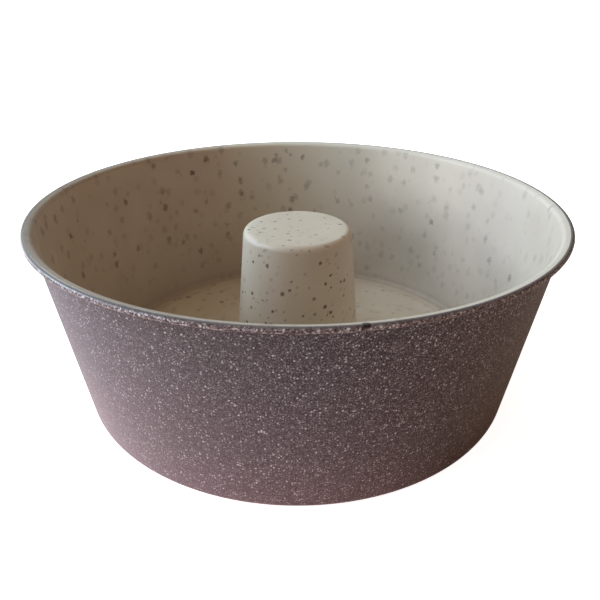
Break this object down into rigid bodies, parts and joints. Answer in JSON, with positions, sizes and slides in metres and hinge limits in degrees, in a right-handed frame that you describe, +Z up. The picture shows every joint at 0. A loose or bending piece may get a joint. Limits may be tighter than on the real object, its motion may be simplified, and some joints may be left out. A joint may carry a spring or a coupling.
{
  "type": "tube cake pan",
  "caption": "Round tapered cake pan with a rolled lip and a closed tube fixed in the middle of its floor, lined with a cream speckled non-stick film and coated mauve outside.",
  "frame": {"origin": "on the plane that the pan stands on, on the axis of the bowl and the tube", "axes": "+Z up along the axis of the bowl, towards its open mouth; X and Y lie level and are alike, because every piece is turned about Z"},
  "size_m": [0.26, 0.26, 0.095],
  "materials": {
    "aluminium": "satin",
    "cream_lining": "satin",
    "mauve_coat": "satin"
  },
  "bodies": {
    "root": {"body_shell": "aluminium", "body_lining": "cream_lining", "wall_coat": "mauve_coat", "lip_coat": "mauve_coat", "base_coat": "mauve_coat", "centre_tube": "aluminium", "tube_lining": "cream_lining"}
  },
  "joints": []
}
